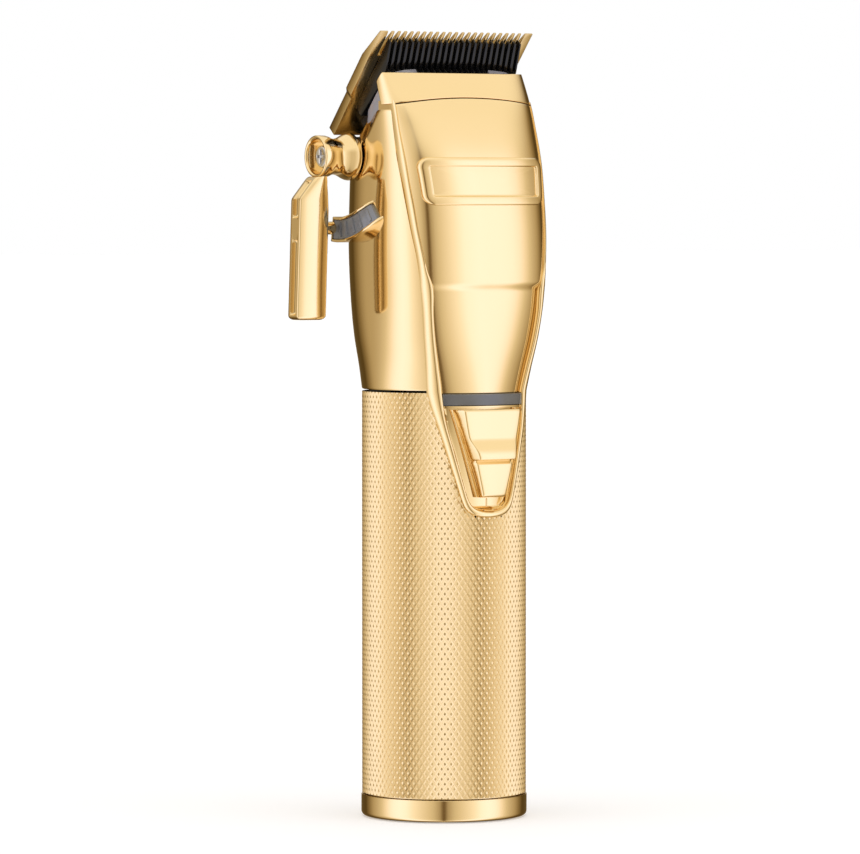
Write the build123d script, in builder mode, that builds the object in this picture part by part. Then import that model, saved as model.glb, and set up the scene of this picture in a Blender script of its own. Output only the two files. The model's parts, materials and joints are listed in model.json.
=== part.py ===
from build123d import *
import os
from math import cos, degrees, pi, radians, sin

os.makedirs("parts", exist_ok=True)

# Hair clipper, standing on its base. +Z runs up the barrel, the switch and nameplate face -Y,
# the taper lever is on the -X side. Origin at the middle of the base. Millimetres.

# ---- handle
barrel_radius = 19.0
barrel_wall = 1.2
barrel_bottom = 5.2
barrel_top = 98.7
end_ring_radius = 19.2
end_ring_height = 5.1
base_radius = 17.3

# ---- head: height, half width, front depth, back depth, front roundness, back roundness
head_bottom = 98.85
head_stations = [
    (98.8, 19.0, 19.0, 19.0, 2.0, 2.0),
    (104.0, 19.5, 19.35, 19.1, 2.2, 2.1),
    (111.0, 20.3, 19.8, 19.2, 2.55, 2.3),
    (122.0, 21.0, 20.2, 19.2, 2.95, 2.5),
    (133.0, 21.2, 19.8, 19.2, 3.0, 2.6),
    (143.0, 21.0, 18.7, 19.1, 3.0, 2.6),
    (152.0, 20.7, 16.9, 18.9, 3.1, 2.6),
    (159.0, 20.3, 14.0, 18.5, 3.3, 2.7),
    (165.0, 20.0, 10.8, 18.0, 3.6, 2.8),
    (170.0, 19.6, 7.3, 17.0, 3.8, 2.9),
    (174.0, 19.2, 4.2, 16.0, 4.0, 3.0),
]
shell_wall = 1.7
seam_height = 163.9
seam_rise = 2.1
seam_gap = 0.1
cap_top = 171.8

# ---- front cover: height and half width of the outer edge of its ridge, then of the inner edge
ridge_outer = [(164.5, 19.05), (152, 19.4), (141.6, 18.8), (129, 17.5), (117.5, 16.3),
               (104, 14.35), (95.6, 12.9), (83, 9.5), (75.3, 7.4), (71.8, 6.2)]
ridge_inner_upper = [(168, 18.5), (152, 18.5), (141.6, 17.8), (129, 16.3), (124.6, 15.2)]
ridge_inner_lower = [(122.8, 14.6), (117.5, 14.35), (104, 12.0), (95.2, 10.6), (86, 8.8),
                     (80.7, 7.45), (73.6, 5.2)]
v_tip = 69.7
cover_grow = 0.35
ridge_grow = 0.95
cover_back = -1.2
crease_height = 122.6
light_bar_low, light_bar_high = 95.6, 98.2

# ---- cutting head: the blade plane leans back from the tips by this angle from the vertical
blade_angle = 42.0
blade_tip = (0, -5.6, 181.0)
blade_half_width = 21.0
heel_half_width = 20.4
blade_length = 31.5
blade_thickness = 2.6
bevel_length = 9.0
tooth_pitch = 1.75
tooth_gap = 0.9
tooth_length = 7.2
cutter_tip = 2.1
cutter_end = 22.9
cutter_half_width = 18.1
cutter_thickness = 4.1
cutter_pitch = 1.57
cutter_gap = 0.8
blade_travel = 1.6
cutter_stroke = 1.0

# ---- taper lever
hub_y, hub_z = 7.5, 152.5
hub_radius = 4.9
neck_radius = 5.5
shaft_radius = 2.95
cam_offset = 2.34
cam_pin_radius = 1.5
lever_half_angle = 20.0
scale_inner, scale_outer = 13.9, 19.7

# ---- motor and switch
motor_radius = 11.5
motor_y = 1.0
motor_low, motor_high = 104.0, 136.0
crank_offset = 1.0
crank_pin_radius = 1.0
switch_travel = 2.0

down_slope = Vector(0, sin(radians(blade_angle)), -cos(radians(blade_angle)))
out_slope = Vector(0, cos(radians(blade_angle)), sin(radians(blade_angle)))
slope_plane = Plane(origin=blade_tip, x_dir=(1, 0, 0), z_dir=tuple(out_slope))
slope_side = Plane(origin=blade_tip, x_dir=tuple(down_slope), z_dir=(1, 0, 0))
front_plane = Plane(origin=(0, 0, 0), x_dir=(1, 0, 0), z_dir=(0, -1, 0))
side_plane = Plane(origin=(0, 0, 0), x_dir=(0, 1, 0), z_dir=(1, 0, 0))


def section_points(station, grow):
    """Points round one level of the head, a rounded shape with its own front and back depth."""
    z, half_width, front, back, front_power, back_power = station
    points = []
    for step in range(32):
        angle = 2 * pi * (step + 0.5) / 32
        c, s = cos(angle), sin(angle)
        depth, power = (back, back_power) if s > 0 else (front, front_power)
        x = (half_width + grow) * abs(c) ** (2 / power) * (1 if c > 0 else -1)
        y = (depth + grow) * abs(s) ** (2 / power) * (1 if s > 0 else -1)
        points.append((x, y))
    return points


def head_skin(grow):
    """The head's outer surface moved out by grow, with the barrel's round below it, as one solid."""
    with BuildPart() as round_part:
        with BuildSketch(Plane.XY.offset(head_stations[0][0])):
            with BuildLine():
                Spline(*section_points(head_stations[0], grow), periodic=True)
            make_face()
        extrude(amount=-40)
    with BuildPart() as skin:
        for station in head_stations:
            with BuildSketch(Plane.XY.offset(station[0])):
                with BuildLine():
                    Spline(*section_points(station, grow), periodic=True)
                make_face()
        loft()
        add(round_part.part)
    return skin.part


def front_prism(stations, tip_height, tip_half, grow=0.0):
    """The V outline seen from the front, run from the middle of the body out past its front."""
    right = [(half + grow, z) for z, half in stations]
    left = [(-x, z) for x, z in reversed(right)]
    with BuildPart() as prism:
        with BuildSketch(front_plane.offset(5)):
            with BuildLine():
                Spline(*right)
                Spline(right[-1], (tip_half, tip_height + 0.6 - grow), (0, tip_height - grow),
                       (-tip_half, tip_height + 0.6 - grow), left[0])
                Spline(*left)
                Line(left[-1], right[0])
            make_face()
        extrude(amount=30)
    return prism.part


def inner_prism(grow=0.0):
    """The outline inside the ridge, with its step inwards at the crease."""
    upper = [(half + grow, z) for z, half in ridge_inner_upper]
    lower = [(half + grow, z) for z, half in ridge_inner_lower]
    mirrored_upper = [(-x, z) for x, z in reversed(upper)]
    mirrored_lower = [(-x, z) for x, z in reversed(lower)]
    with BuildPart() as prism:
        with BuildSketch(front_plane.offset(5)):
            with BuildLine():
                Spline(*upper)
                Line(upper[-1], lower[0])
                Spline(*lower)
                ThreePointArc(lower[-1], (0, lower[-1][1] - 2.2), mirrored_lower[0])
                Spline(*mirrored_lower)
                Line(mirrored_lower[-1], mirrored_upper[0])
                Spline(*mirrored_upper)
                Line(mirrored_upper[-1], upper[0])
            make_face()
        extrude(amount=30)
    return prism.part


def slab(low, high, half=30):
    """A block as wide as the body between two heights."""
    with BuildPart() as block:
        with BuildSketch(Plane.XY.offset(low)):
            Rectangle(2 * half, 2 * half)
        extrude(amount=high - low)
    return block.part


def above_seam(offset):
    """Everything above the arched seam between the front cover and the nose cap."""
    low = seam_height + offset
    with BuildPart() as block:
        with BuildSketch(front_plane.offset(-30)):
            with BuildLine():
                ThreePointArc((-25, low - 0.6), (0, low + seam_rise), (25, low - 0.6))
                Polyline((25, low - 0.6), (25, 200), (-25, 200), (-25, low - 0.6))
            make_face()
        extrude(amount=60)
    return block.part


def side_prism(points, half=30):
    """A side view outline (y, z) run across the whole width."""
    with BuildPart() as block:
        with BuildSketch(side_plane.offset(-half)):
            with BuildLine():
                Polyline(*points, close=True)
            make_face()
        extrude(amount=2 * half)
    return block.part


def save(builder, name):
    builder.part.label = name
    export_step(builder.part, f"parts/{name}.step")


skin = head_skin(0.0)
skin_inside = head_skin(-shell_wall)
skin_frame = head_skin(-shell_wall - 0.15)
skin_cover = head_skin(cover_grow)
skin_ridge = head_skin(ridge_grow)
skin_back = head_skin(cover_back)
skin_low = head_skin(-0.25)
skin_plate = head_skin(0.6)

window = front_prism(ridge_outer, v_tip, 4.0, grow=0.06)
cover_outline = front_prism(ridge_outer, v_tip, 4.0)
panel_outline = inner_prism()

# ================= handle =================
with BuildPart() as end_ring:
    with BuildSketch(Plane.XY):
        Circle(end_ring_radius)
    extrude(amount=end_ring_height)
    fillet(end_ring.edges().sort_by(Axis.Z)[0], 1.2)
    chamfer(end_ring.edges().sort_by(Axis.Z)[-1], 0.25)
    with BuildSketch(Plane.XY.offset(-1)):
        Circle(base_radius + 0.05)
    extrude(amount=end_ring_height + 2, mode=Mode.SUBTRACT)
save(end_ring, "end_ring")

socket_y = 9.0
with BuildPart() as base_plate:
    with BuildSketch(Plane.XY):
        Circle(base_radius)
    extrude(amount=4.4)
    with Locations((0, socket_y, 0)):
        Cylinder(3.9, 20, mode=Mode.SUBTRACT)
    with BuildSketch(Plane.XY):
        with Locations((-8, -8), (8, -8)):
            SlotOverall(7.2, 3.2)
    extrude(amount=1.0, mode=Mode.SUBTRACT)
save(base_plate, "base_plate")

with BuildPart() as dc_socket:
    with BuildSketch(Plane.XY.offset(0.3)):
        with Locations((0, socket_y)):
            Circle(3.8)
            Circle(3.2, mode=Mode.SUBTRACT)
    extrude(amount=9.7)
    with BuildSketch(Plane.XY.offset(9.0)):
        with Locations((0, socket_y)):
            Circle(3.8)
    extrude(amount=1.0)
    with BuildSketch(Plane.XY.offset(4.8)):
        with Locations((0, socket_y)):
            Circle(0.9)
    extrude(amount=5.0)
save(dc_socket, "dc_socket")

with BuildPart() as charging_contacts:
    with BuildSketch(Plane.XY.offset(0.35)):
        with Locations((-8, -8), (8, -8)):
            SlotOverall(7.0, 3.0)
    extrude(amount=0.65)
save(charging_contacts, "charging_contacts")

with BuildPart() as barrel_grip:
    with BuildSketch(Plane.XY.offset(barrel_bottom)):
        Circle(barrel_radius)
        Circle(barrel_radius - barrel_wall, mode=Mode.SUBTRACT)
    extrude(amount=barrel_top - barrel_bottom)
    add(window, mode=Mode.SUBTRACT)
save(barrel_grip, "barrel_grip")

with BuildPart() as battery_holder:
    with BuildSketch(Plane.XY.offset(11.5)):
        with Locations((0, 3.5)):
            Circle(11.2)
            Circle(9.5, mode=Mode.SUBTRACT)
        with Locations((0, -6.5)):
            Rectangle(24, 10, mode=Mode.SUBTRACT)
    extrude(amount=68)
    with BuildSketch(Plane.XY.offset(11.5)):
        Circle(17.6)
        with Locations((0, -20.5)):
            Rectangle(40, 16, mode=Mode.SUBTRACT)
    extrude(amount=-2.0)
    with BuildSketch(Plane.XY.offset(5.0)):
        with Locations((-13, 8), (13, 8), (-13, -6), (13, -6)):
            Circle(2.0)
    extrude(amount=5)
    with BuildSketch(Plane.XY.offset(9.0)):
        with Locations((0, socket_y)):
            Circle(4.0)
    extrude(amount=2.6, mode=Mode.SUBTRACT)
save(battery_holder, "battery_holder")

with BuildPart() as battery_cell:
    with BuildSketch(Plane.XY.offset(12.5)):
        with Locations((0, 3.5)):
            Circle(9.2)
    extrude(amount=65)
    fillet(battery_cell.edges().filter_by(GeomType.CIRCLE), 0.6)
    with BuildSketch(Plane.XY.offset(77.5)):
        with Locations((0, 3.5)):
            Circle(2.8)
    extrude(amount=0.8)
save(battery_cell, "battery_cell")

with BuildPart() as circuit_board:
    with BuildSketch(front_plane.offset(10.6)):
        with Locations((0, 56)):
            RectangleRounded(20, 80, 1.5)
    extrude(amount=1.2)
save(circuit_board, "circuit_board")

with BuildPart() as board_parts:
    with BuildSketch(front_plane.offset(11.85)):
        with Locations((-4, 30), (4, 44)):
            Rectangle(6, 6)
        with Locations((5, 30)):
            Rectangle(3, 8)
        with Locations((-4, 60), (3, 60)):
            Rectangle(4, 5)
    extrude(amount=1.6)
save(board_parts, "board_parts")

with BuildPart() as micro_switch:
    with BuildSketch(front_plane.offset(11.85)):
        with Locations((0, 83)):
            Rectangle(9, 13)
    extrude(amount=2.6)
    with BuildSketch(front_plane.offset(13.0)):
        with Locations((0, 82.0)):
            Rectangle(2.8, 7.6)
    extrude(amount=3, mode=Mode.SUBTRACT)
save(micro_switch, "micro_switch")

# ================= housing of the head =================
cheek_line = [(-40, 163.3), (-4.2, 163.3), (1.6, 162.7), (8.8, 159.3), (14.5, 155.4), (30, 152.5),
              (30, 200), (-40, 200)]
with BuildPart() as head_shell:
    add(skin)
    add(slab(50, head_bottom), mode=Mode.SUBTRACT)
    add(skin_inside, mode=Mode.SUBTRACT)
    add(side_prism(cheek_line), mode=Mode.SUBTRACT)
    add(window, mode=Mode.SUBTRACT)
    with Locations(Location((-20, hub_y, hub_z), (0, 90, 0))):
        Cylinder(4.7, 12, mode=Mode.SUBTRACT)
save(head_shell, "head_shell")

with BuildPart() as front_cover:
    add(skin_cover)
    add(skin_low, mode=Mode.SUBTRACT)
    add(cover_outline, mode=Mode.INTERSECT)
    add(slab(50, crease_height), mode=Mode.SUBTRACT)
with BuildPart() as cover_base:
    add(skin_low)
    add(skin_back, mode=Mode.SUBTRACT)
    add(cover_outline, mode=Mode.INTERSECT)
with BuildPart() as cover_ridge:
    add(skin_ridge)
    add(skin_low, mode=Mode.SUBTRACT)
    add(cover_outline, mode=Mode.INTERSECT)
    add(panel_outline, mode=Mode.SUBTRACT)
with BuildPart() as cover:
    add(cover_base.part)
    add(front_cover.part)
    add(cover_ridge.part)
    add(above_seam(-seam_gap), mode=Mode.SUBTRACT)
    with BuildSketch(front_plane.offset(5)):
        with Locations((0, (light_bar_low + light_bar_high) / 2)):
            Rectangle(22.2, light_bar_high - light_bar_low + 0.2)
    extrude(amount=30, mode=Mode.SUBTRACT)
    with BuildSketch(front_plane.offset(5)):
        with BuildLine():
            Polyline((-9.9, 95.0), (9.9, 95.0), (5.0, 73.0), (3.4, 71.2), (-3.4, 71.2), (-5.0, 73.0),
                     close=True)
        make_face()
    extrude(amount=30, mode=Mode.SUBTRACT)
save(cover, "front_cover")

with BuildPart() as nose_cap:
    add(skin_cover)
    add(skin_inside, mode=Mode.SUBTRACT)
    add(above_seam(seam_gap), mode=Mode.INTERSECT)
    add(side_prism([(-40, 150), (-5.9, 160), (-4.5, 163.6), (-1.9, 169.7), (-3.4, cap_top),
                     (-40, cap_top)]), mode=Mode.INTERSECT)
save(nose_cap, "nose_cap")

with BuildPart() as nameplate:
    add(skin_ridge)
    add(skin_cover, mode=Mode.SUBTRACT)
    with BuildSketch(front_plane.offset(5)):
        with BuildLine():
            Polyline((-16.9, 152.3), (16.9, 152.3), (16.4, 141.4), (-16.4, 141.4), close=True)
        make_face()
        fillet(vertices(), 2.4)
    extrude(amount=30, mode=Mode.INTERSECT)
with BuildPart() as plate_recess:
    add(skin_ridge)
    add(skin_plate, mode=Mode.SUBTRACT)
    with BuildSketch(front_plane.offset(5)):
        with BuildLine():
            Polyline((-14.7, 150.3), (14.7, 150.3), (14.3, 143.4), (-14.3, 143.4), close=True)
        make_face()
        fillet(vertices(), 0.5)
    extrude(amount=30, mode=Mode.INTERSECT)
with BuildPart() as plate:
    add(nameplate.part)
    add(plate_recess.part, mode=Mode.SUBTRACT)
save(plate, "nameplate")

with BuildPart() as light_bar:
    add(skin_cover)
    add(skin_back, mode=Mode.SUBTRACT)
    with BuildSketch(front_plane.offset(5)):
        with Locations((0, (light_bar_low + light_bar_high) / 2)):
            Rectangle(22.0, light_bar_high - light_bar_low)
    extrude(amount=30, mode=Mode.INTERSECT)
save(light_bar, "light_bar")

with BuildPart() as switch_bed:
    with BuildSketch(Plane.XY.offset(70.2)):
        Circle(17.72)
        Circle(16.2, mode=Mode.SUBTRACT)
    extrude(amount=27.7)
    with BuildSketch(front_plane.offset(5)):
        with BuildLine():
            Polyline((-11.2, 97.9), (11.2, 97.9), (6.4, 72.4), (4.0, 70.2), (-4.0, 70.2), (-6.4, 72.4),
                     close=True)
        make_face()
    extrude(amount=20, mode=Mode.INTERSECT)
    with BuildSketch(front_plane.offset(14)):
        with Locations((0, 82.0)):
            Rectangle(2.8, 7.6)
    extrude(amount=5, mode=Mode.SUBTRACT)
save(switch_bed, "switch_bed")

# ================= power switch =================
slider_top, slider_bottom = 94.7, 74.5
with BuildPart() as slider_side:
    with BuildSketch(side_plane.offset(-12)):
        with BuildLine():
            Polyline((-17.8, slider_top), (-20.1, slider_top), (-20.3, 94.2), (-20.4, 88.6))
            Spline((-20.4, 88.6), (-20.9, 87.2), (-22.4, 84.9), (-22.6, 83.8))
            Polyline((-22.6, 83.8), (-22.3, 83.1), (-20.6, 82.7), (-21.2, 82.1), (-21.1, 75.0),
                     (-20.7, slider_bottom), (-17.8, slider_bottom), (-17.8, slider_top))
        make_face()
    extrude(amount=24)
with BuildPart() as switch_slider:
    with BuildSketch(front_plane.offset(17.8)):
        with BuildLine():
            Polyline((-8.9, slider_top), (8.9, slider_top), (3.9, slider_bottom),
                     (-3.9, slider_bottom), close=True)
        make_face()
    extrude(amount=6, taper=24)
    add(slider_side.part, mode=Mode.INTERSECT)
    with BuildSketch(front_plane.offset(13.3)):
        with Locations((0, 84.0)):
            Rectangle(2.4, 3.0)
    extrude(amount=5)
save(switch_slider, "switch_slider")

# ================= chassis, motor =================
with BuildPart() as chassis:
    with BuildSketch(Plane.XY.offset(84)):
        Circle(17.65)
        Circle(16.1, mode=Mode.SUBTRACT)
        with Locations((0, -15)):
            Rectangle(28, 16, mode=Mode.SUBTRACT)
    extrude(amount=14.4)
    with BuildSketch(Plane.XY.offset(96)):
        with Locations((-14.9, 2), (14.9, 2)):
            Rectangle(2.4, 8)
    extrude(amount=40)
save(chassis, "chassis")

with BuildPart() as motor_can:
    with BuildSketch(Plane.XY.offset(motor_low)):
        with Locations((0, motor_y)):
            Circle(motor_radius)
    extrude(amount=motor_high - motor_low)
    with BuildSketch(Plane.XY.offset(motor_low + 1.5)):
        with Locations((0, motor_y)):
            Circle(motor_radius - 1.1)
    extrude(amount=motor_high - motor_low - 3.0, mode=Mode.SUBTRACT)
    with Locations((0, motor_y, (motor_low + motor_high) / 2)):
        Cylinder(1.56, 60, mode=Mode.SUBTRACT)
save(motor_can, "motor_can")

with BuildPart() as motor_plate:
    with BuildSketch(Plane.XY.offset(motor_high + 0.1)):
        Circle(17.0)
        with Locations((0, motor_y)):
            Circle(4.2, mode=Mode.SUBTRACT)
        with Locations((-8, motor_y), (8, motor_y)):
            Circle(1.35, mode=Mode.SUBTRACT)
    extrude(amount=2.0)
save(motor_plate, "motor_plate")

with BuildPart() as motor_screws:
    with BuildSketch(Plane.XY.offset(motor_high + 2.15)):
        with Locations((-8, motor_y), (8, motor_y)):
            Circle(2.3)
    extrude(amount=1.3)
    with BuildSketch(Plane.XY.offset(motor_high + 0.05)):
        with Locations((-8, motor_y), (8, motor_y)):
            Circle(1.25)
    extrude(amount=2.4)
    with BuildSketch(Plane.XY.offset(motor_high + 2.9)):
        with Locations((-8, motor_y), (8, motor_y)):
            Rectangle(3.0, 0.6)
            Rectangle(0.6, 3.0)
    extrude(amount=1, mode=Mode.SUBTRACT)
save(motor_screws, "motor_screws")

crank_top = motor_high + 17.0
with BuildPart() as motor_rotor:
    with BuildSketch(Plane.XY.offset(motor_low - 1.0)):
        with Locations((0, motor_y)):
            Circle(1.5)
    extrude(amount=motor_high - motor_low + 8)
    with BuildSketch(Plane.XY.offset(motor_low + 5)):
        with Locations((0, motor_y)):
            Circle(9.6)
    extrude(amount=20)
save(motor_rotor, "motor_rotor")

with BuildPart() as crank:
    with BuildSketch(Plane.XY.offset(motor_high + 4.2)):
        with Locations((0, motor_y)):
            Circle(3.8)
            Circle(1.52, mode=Mode.SUBTRACT)
    extrude(amount=2.8)
    with BuildSketch(Plane.XY.offset(motor_high + 7.0)):
        with Locations((0, motor_y)):
            Circle(3.8)
    extrude(amount=1.6)
    with BuildSketch(Plane.XY.offset(motor_high + 8.6)):
        with Locations((0, motor_y - crank_offset)):
            Circle(crank_pin_radius)
    extrude(amount=crank_top - motor_high - 8.6)
save(crank, "crank")

# ================= cutting head =================
frame_profile = [(-12, 157.4), (-12, 163.0), (-3.3, 172.6), (-2.75, 170.9), (4.4, 163.0), (4.4, 157.4)]
with BuildPart() as head_frame:
    add(skin_frame)
    add(side_prism(frame_profile), mode=Mode.INTERSECT)
    with Locations((0, -1.0, 163)):
        Box(20, 14.5, 26, mode=Mode.SUBTRACT)
save(head_frame, "head_frame")

bevel_tip = 0.35
with BuildPart() as fixed_blade:
    with BuildSketch(slope_side.offset(-blade_half_width)):
        with BuildLine():
            Polyline((0, 0), (0, bevel_tip), (bevel_length, blade_thickness),
                     (blade_length, blade_thickness), (blade_length, 0), close=True)
        make_face()
    extrude(amount=2 * blade_half_width)
    with BuildSketch(slope_plane.offset(-1)):
        for side in (-1, 1):
            with BuildLine():
                Polyline((side * 30, 19.2), (side * blade_half_width, 19.2),
                         (side * heel_half_width, 20.4), (side * heel_half_width, 40),
                         (side * 30, 40), close=True)
            make_face()
    extrude(amount=6, mode=Mode.SUBTRACT)
    with BuildSketch(slope_plane.offset(-1)):
        for number in range(22):
            x = (number - 10.5) * tooth_pitch
            with BuildLine():
                Polyline((x - 0.62, -1), (x + 0.62, -1), (x + tooth_gap / 2, 1.6),
                         (x + tooth_gap / 2, tooth_length), (x - tooth_gap / 2, tooth_length),
                         (x - tooth_gap / 2, 1.6), close=True)
            make_face()
    extrude(amount=6, mode=Mode.SUBTRACT)
    with Locations(slope_plane * Pos(-9.5, 26.8, blade_thickness), slope_plane * Pos(9.5, 26.8, blade_thickness)):
        CounterSinkHole(1.65, 3.1, depth=8)
save(fixed_blade, "fixed_blade")

screw_spots = [slope_plane * Pos(-9.5, 26.8, 0), slope_plane * Pos(9.5, 26.8, 0)]
with BuildPart() as blade_screws:
    for spot in screw_spots:
        with BuildSketch(Plane(spot).offset(-4.0)):
            Circle(1.5)
        extrude(amount=5.3)
        with BuildSketch(Plane(spot).offset(1.25)):
            Circle(1.55)
        with BuildSketch(Plane(spot).offset(2.45)):
            Circle(2.75)
        loft()
        with BuildSketch(Plane(spot).offset(1.5)):
            Rectangle(3.4, 0.6)
            Rectangle(0.6, 3.4)
        extrude(amount=2, mode=Mode.SUBTRACT)
save(blade_screws, "blade_screws")

cam_start = -lever_half_angle
cam_n = cam_offset * cos(radians(lever_half_angle))
hub_from_tip = Vector(0, hub_y, hub_z) - Vector(*blade_tip)
hub_t = hub_from_tip.dot(down_slope)
hub_n = hub_from_tip.dot(out_slope)
pin_t = hub_t - cam_offset * sin(radians(lever_half_angle))
pin_n = hub_n + cam_n
leg_x = 11.9
with BuildPart() as blade_carriage:
    with BuildSketch(slope_plane.offset(-4.9)):
        with BuildLine():
            Polyline((-14.6, 23.6), (14.6, 23.6), (14.6, 27.5), (10.8, 31.2), (-10.8, 31.2),
                     (-14.6, 27.5), close=True)
        make_face()
    extrude(amount=4.85)
    with BuildSketch(slope_side.offset(-2.3)):
        with BuildLine():
            Polyline((20, -2.6), (40, -2.6), (40, -8), (20, -8), close=True)
        make_face()
    extrude(amount=4.6, mode=Mode.SUBTRACT)
    with BuildSketch(slope_side.offset(-leg_x)):
        with BuildLine():
            Polyline((pin_t - 2.9, -3.0), (pin_t + 1.2, -3.0), (pin_t + 2.6, -5.0),
                     (pin_t + 2.6, pin_n - 3.2), (pin_t - 2.9, pin_n - 3.2), close=True)
        make_face()
    extrude(amount=2.2)
    with BuildSketch(slope_side.offset(-leg_x - 1)):
        with Locations((pin_t, pin_n + 0.07)):
            SlotCenterToCenter(0.5, 2 * (cam_pin_radius + 0.05), rotation=90)
    extrude(amount=5, mode=Mode.SUBTRACT)
    for spot in screw_spots:
        with BuildSketch(Plane(spot).offset(-4.3)):
            Circle(1.55)
        extrude(amount=6, mode=Mode.SUBTRACT)
save(blade_carriage, "blade_carriage")

with BuildPart() as carriage_guide:
    with BuildSketch(slope_side.offset(-9.3)):
        with BuildLine():
            Polyline((23.7, -5.1), (36.0, -5.1), (36.0, -6.9), (23.7, -6.9), close=True)
        make_face()
    extrude(amount=19.6)
    with BuildSketch(slope_side.offset(-2.2)):
        with BuildLine():
            Polyline((23.7, -2.8), (33.2, -2.8), (33.2, -6.0), (23.7, -6.0), close=True)
        make_face()
    extrude(amount=4.4)
    with BuildSketch(Plane.XY.offset(motor_high + 2.2)):
        with Locations((-6.5, 14.6), (6.5, 14.6)):
            Rectangle(3, 3)
    extrude(amount=13)
    with BuildSketch(slope_side.offset(-20)):
        with BuildLine():
            Polyline((20, -5.1), (50, -5.1), (50, 20), (20, 20), close=True)
        make_face()
        with BuildLine():
            Polyline((23.6, -2.7), (33.3, -2.7), (33.3, -5.2), (23.6, -5.2), close=True)
        make_face(mode=Mode.SUBTRACT)
    extrude(amount=17.8, mode=Mode.SUBTRACT)
    with BuildSketch(slope_side.offset(20)):
        with BuildLine():
            Polyline((20, -5.1), (50, -5.1), (50, 20), (20, 20), close=True)
        make_face()
    extrude(amount=-17.8, mode=Mode.SUBTRACT)
save(carriage_guide, "carriage_guide")

with BuildPart() as cutter_blade:
    with BuildSketch(slope_side.offset(-cutter_half_width)):
        with BuildLine():
            Polyline((cutter_tip, -0.06), (cutter_tip, -1.2), (8.35, -cutter_thickness),
                     (14.0, -cutter_thickness), (cutter_end, -3.1), (cutter_end, -0.06), close=True)
        make_face()
    extrude(amount=2 * cutter_half_width)
    with BuildSketch(slope_plane.offset(-6)):
        for number in range(23):
            x = (number - 11) * cutter_pitch
            with BuildLine():
                Polyline((x - 0.55, 1), (x + 0.55, 1), (x + cutter_gap / 2, 4.4),
                         (x + cutter_gap / 2, 8.4), (x - cutter_gap / 2, 8.4),
                         (x - cutter_gap / 2, 4.4), close=True)
            make_face()
    extrude(amount=8, mode=Mode.SUBTRACT)
    with BuildSketch(slope_plane.offset(-6)):
        with Locations((0, 16)):
            Rectangle(12.1, 5.1)
    extrude(amount=4.5, mode=Mode.SUBTRACT)
save(cutter_blade, "cutter_blade")

fork_gap = crank_pin_radius + 2 * cutter_stroke + 0.25
with BuildPart() as drive_fork:
    with BuildSketch(slope_plane.offset(-1.6)):
        with Locations((0, 16)):
            Rectangle(12.0, 5.0)
    extrude(amount=-5.0)
    with BuildSketch(side_plane.offset(-5.6)):
        with BuildLine():
            Polyline((-1.6, 146.8), (1.8, 146.8), (1.8, 163.8), (-0.3, 166.2), (-1.6, 163.0), close=True)
        make_face()
    extrude(amount=11.2)
    with BuildSketch(side_plane.offset(-fork_gap)):
        with BuildLine():
            Polyline((-4, 140), (4, 140), (4, crank_top + 1.5), (-4, crank_top + 1.5), close=True)
        make_face()
    extrude(amount=2 * fork_gap, mode=Mode.SUBTRACT)
save(drive_fork, "drive_fork")

# ================= taper lever =================
with BuildPart() as lever_bushing:
    with BuildSketch(Plane.YZ.offset(-20.5)):
        with Locations((hub_y, hub_z)):
            Circle(4.6)
            Circle(3.02, mode=Mode.SUBTRACT)
    extrude(amount=3.7)
save(lever_bushing, "lever_bushing")

arm_lean = 3.0
arm_plane = Plane(origin=(0, 5.4, 143), x_dir=(1, 0, 0), z_dir=(0, -cos(radians(arm_lean)), -sin(radians(arm_lean))))
with BuildPart() as taper_lever:
    with BuildSketch(arm_plane.offset(-2.6)):
        with BuildLine():
            Polyline((-27.2, 7.5), (-30.4, 7.5), (-30.4, 4.9), (-33.0, 4.9), (-36.9, 0.2), (-36.9, -27.9),
                     (-28.9, -27.9), (-28.9, 0.5), (-27.2, 3.0), close=True)
        make_face()
        fillet(vertices().group_by(Axis.Y)[0], 2.0)
    extrude(amount=5.0)
    with BuildSketch(Plane.YZ.offset(-30.5)):
        with Locations((hub_y, hub_z)):
            Circle(hub_radius)
    extrude(amount=4.6)
    with BuildSketch(Plane.YZ.offset(-26.0)):
        with Locations((hub_y, hub_z)):
            Circle(neck_radius)
    extrude(amount=5.1)
    with BuildSketch(Plane.YZ.offset(-31)):
        with Locations((hub_y, hub_z)):
            Circle(3.9)
    extrude(amount=3.0, mode=Mode.SUBTRACT)
    with BuildSketch(Plane.YZ.offset(-29)):
        with Locations((hub_y, hub_z)):
            Circle(shaft_radius + 0.02)
    extrude(amount=9, mode=Mode.SUBTRACT)
    with BuildSketch(Plane.YZ.offset(-29.5)):
        with Locations((8.2, 136.1)):
            Circle(1.5)
    extrude(amount=4.6)
    for low, high in ((116.3, 133.4), (138.6, 142.6)):
        with BuildSketch(Plane.YZ.offset(-38)):
            with Locations((6.2 - 0.052 * ((low + high) / 2 - 129), (low + high) / 2)):
                SlotOverall(high - low, 1.7, rotation=93)
        extrude(amount=1.7, mode=Mode.SUBTRACT)
save(taper_lever, "taper_lever")

cam_angle = radians(-lever_half_angle)
cam_vector = out_slope * (cam_offset * cos(cam_angle)) + down_slope * (cam_offset * sin(cam_angle))
with BuildPart() as lever_shaft:
    with BuildSketch(Plane.YZ.offset(-27.9)):
        with Locations((hub_y, hub_z)):
            Circle(shaft_radius)
    extrude(amount=12.1)
    with BuildSketch(Plane.YZ.offset(-16.6)):
        with Locations((hub_y, hub_z)):
            Circle(4.2)
    extrude(amount=1.2)
    with BuildSketch(Plane.YZ.offset(-15.6)):
        with Locations((hub_y + cam_vector.Y, hub_z + cam_vector.Z)):
            Circle(cam_pin_radius)
    extrude(amount=6.2)
    with BuildSketch(Plane.YZ.offset(-28)):
        with Locations((hub_y, hub_z)):
            Circle(1.3)
    extrude(amount=8, mode=Mode.SUBTRACT)
save(lever_shaft, "lever_shaft")

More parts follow.
